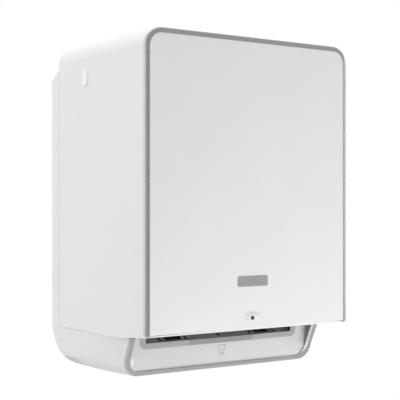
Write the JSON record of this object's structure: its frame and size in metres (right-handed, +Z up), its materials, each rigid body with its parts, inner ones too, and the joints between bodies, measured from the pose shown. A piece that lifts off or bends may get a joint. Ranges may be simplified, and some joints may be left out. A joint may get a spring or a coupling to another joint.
{
  "type": "roll paper towel dispenser",
  "caption": "Wall cabinet that feeds towel from a hard roll through a slot under its hinged front cover, with motor-driven rollers and a sensor.",
  "frame": {"origin": "centre of the four wall screw holes, on the plane of the cabinet's back", "axes": "+X to the right as seen from the room, +Y into the wall, +Z up"},
  "size_m": [0.3186, 0.234, 0.419],
  "materials": {
    "white_shell": "moulded gloss white",
    "grey_trim": "satin grey",
    "pale_panel": "satin pale grey",
    "band_grey": "satin mid grey",
    "insert_grey": "satin darker grey",
    "dark_plastic": "moulded dark grey",
    "inner_plastic": "moulded grey",
    "black_plastic": "gloss black",
    "black_rubber": "ground rubber",
    "steel": "bright steel",
    "motor_steel": "zinc plated",
    "gear_plastic": "natural acetal",
    "board_green": "solder resist",
    "cell_wrap": "printed sleeve without text",
    "button_blue": "moulded blue",
    "button_white": "moulded white"
  },
  "bodies": {
    "housing": {"back_housing": "white_shell", "chin_rim": "grey_trim", "chin_panel": "pale_panel", "slot_frame": "band_grey", "slot_insert": "insert_grey", "guide_ramp": "dark_plastic", "module_frame": "dark_plastic", "module_screws": "steel", "tear_bar": "steel", "shaft_bushes": "gear_plastic", "gear_motor": "motor_steel", "motor_screws": "steel", "idler_axle": "steel", "sensor_board": "board_green", "sensor_tube": "black_plastic", "roll_arm_left": "inner_plastic", "arm_bracket": "inner_plastic", "arm_screws": "steel", "arm_pivot_pin": "steel", "arm_spring": "steel", "battery_box": "inner_plastic", "battery_cells": "cell_wrap", "battery_contacts": "steel", "battery_door_pin": "steel", "control_box": "inner_plastic", "circuit_board": "board_green", "pinch_springs": "steel"},
    "cover": {"cover_shell": "white_shell", "bezel": "grey_trim", "faceplate": "white_shell", "sensor_lens": "black_plastic", "hinge_pin_left": "steel", "hinge_pin_right": "steel", "latch_retainers": "inner_plastic", "latch_springs": "steel"},
    "latch_left": {"latch_button_left": "button_white"},
    "latch_right": {"latch_button_right": "button_white"},
    "feed_roller": {"feed_shaft": "steel", "feed_cores": "dark_plastic", "feed_tyres": "black_rubber", "feed_gear": "gear_plastic"},
    "idler": {"idler_gear": "gear_plastic"},
    "pinion": {"motor_pinion": "gear_plastic", "motor_shaft": "steel"},
    "pinch_lever": {"pinch_carrier": "dark_plastic"},
    "pinch_roller": {"pinch_shaft": "steel", "pinch_tyres": "black_rubber"},
    "right_arm": {"roll_arm_right": "inner_plastic"},
    "left_hub": {"hub_left": "button_blue"},
    "right_hub": {"hub_right": "button_blue"},
    "cell_door": {"battery_door": "inner_plastic"},
    "advance_button": {"feed_button": "button_blue"},
    "length_slider": {"length_switch": "black_plastic"},
    "delay_slider": {"delay_switch": "black_plastic"}
  },
  "joints": [
    {"name": "cover_hinge", "type": "hinge", "parent": "housing", "child": "cover", "pos_m": [0, -0.204, -0.178], "axis": [1, 0, 0], "range_deg": [0, 95]},
    {"name": "latch_left_push", "type": "slide", "parent": "cover", "child": "latch_left", "axis": [1, 0, 0], "range_m": [0, 0.0025], "stiffness_N_per_m": 400, "springref_m": -0.002, "deforming": ["latch_springs"]},
    {"name": "latch_right_push", "type": "slide", "parent": "cover", "child": "latch_right", "axis": [-1, 0, 0], "range_m": [0, 0.0025], "stiffness_N_per_m": 400, "springref_m": -0.002, "deforming": ["latch_springs"]},
    {"name": "feed_roller_turn", "type": "hinge", "parent": "housing", "child": "feed_roller", "pos_m": [0, -0.14651, -0.20409], "axis": [1, 0, 0], "continuous": true},
    {"name": "idler_turn", "type": "hinge", "parent": "housing", "child": "idler", "pos_m": [0, -0.13051, -0.17638], "axis": [1, 0, 0], "continuous": true},
    {"name": "pinion_turn", "type": "hinge", "parent": "housing", "child": "pinion", "pos_m": [0, -0.11495, -0.16082], "axis": [1, 0, 0], "continuous": true},
    {"name": "pinch_lift", "type": "hinge", "parent": "housing", "child": "pinch_lever", "pos_m": [0, -0.122, -0.18], "axis": [-1, 0, 0], "range_deg": [0, 4], "stiffness_Nm_per_rad": 3, "springref_deg": -2.86, "deforming": ["pinch_springs"]},
    {"name": "pinch_roller_turn", "type": "hinge", "parent": "pinch_lever", "child": "pinch_roller", "pos_m": [0, -0.15497, -0.18674], "axis": [1, 0, 0], "continuous": true},
    {"name": "right_arm_swing", "type": "hinge", "parent": "housing", "child": "right_arm", "pos_m": [0.117, -0.016, 0.0696], "axis": [0, 0, 1], "range_deg": [0, 14], "stiffness_Nm_per_rad": 0.6, "springref_deg": -8.59},
    {"name": "left_hub_turn", "type": "hinge", "parent": "housing", "child": "left_hub", "pos_m": [-0.108, -0.11335, 0.0696], "axis": [1, 0, 0], "continuous": true},
    {"name": "right_hub_turn", "type": "hinge", "parent": "right_arm", "child": "right_hub", "pos_m": [0.108, -0.11335, 0.0696], "axis": [1, 0, 0], "continuous": true},
    {"name": "battery_door_hinge", "type": "hinge", "parent": "housing", "child": "cell_door", "pos_m": [-0.1419, -0.0768, -0.0253], "axis": [0, 0, -1], "range_deg": [0, 85]},
    {"name": "feed_button_push", "type": "slide", "parent": "housing", "child": "advance_button", "axis": [0, 1, 0], "range_m": [0, 0.0015], "stiffness_N_per_m": 400, "springref_m": -0.001},
    {"name": "length_switch_slide", "type": "slide", "parent": "housing", "child": "length_slider", "axis": [1, 0, 0], "range_m": [0, 0.004]},
    {"name": "delay_switch_slide", "type": "slide", "parent": "housing", "child": "delay_slider", "axis": [1, 0, 0], "range_m": [0, 0.004]}
  ],
  "couplings": [
    {"joint": "idler_turn", "follows": "feed_roller_turn", "ratio": -1},
    {"joint": "pinion_turn", "follows": "feed_roller_turn", "ratio": 2.6667},
    {"joint": "pinch_roller_turn", "follows": "feed_roller_turn", "ratio": -1.7143}
  ]
}
